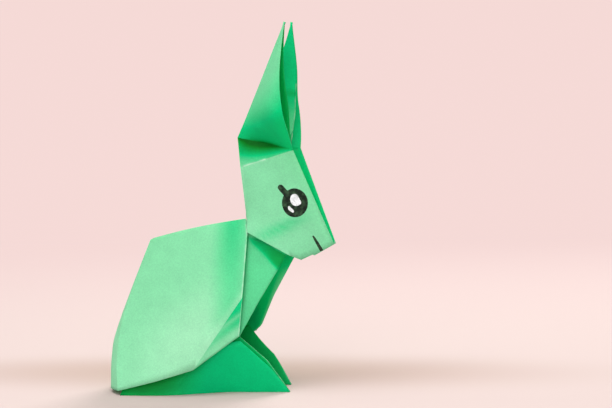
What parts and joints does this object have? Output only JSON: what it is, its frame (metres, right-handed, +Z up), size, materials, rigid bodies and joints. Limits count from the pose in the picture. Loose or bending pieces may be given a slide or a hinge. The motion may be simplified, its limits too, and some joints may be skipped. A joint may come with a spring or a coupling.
{
  "type": "folded paper bunny",
  "caption": "Sitting rabbit folded from a sheet of coloured paper, with tall pointed ears, open underneath, standing on folded feet.",
  "frame": {"origin": "middle of the rabbit's footprint, on the surface that it stands on", "axes": "+X towards the nose, +Z up, +Y towards the rabbit's left side"},
  "size_m": [0.0896, 0.035, 0.1384],
  "materials": {
    "green_paper": "matt dyed craft paper, green on both sides",
    "black_ink": "felt pen ink of the eye and mouth",
    "white_ink": "white paint marker in the eye"
  },
  "bodies": {
    "root": {"folded_sheet": "green_paper"}
  },
  "joints": []
}
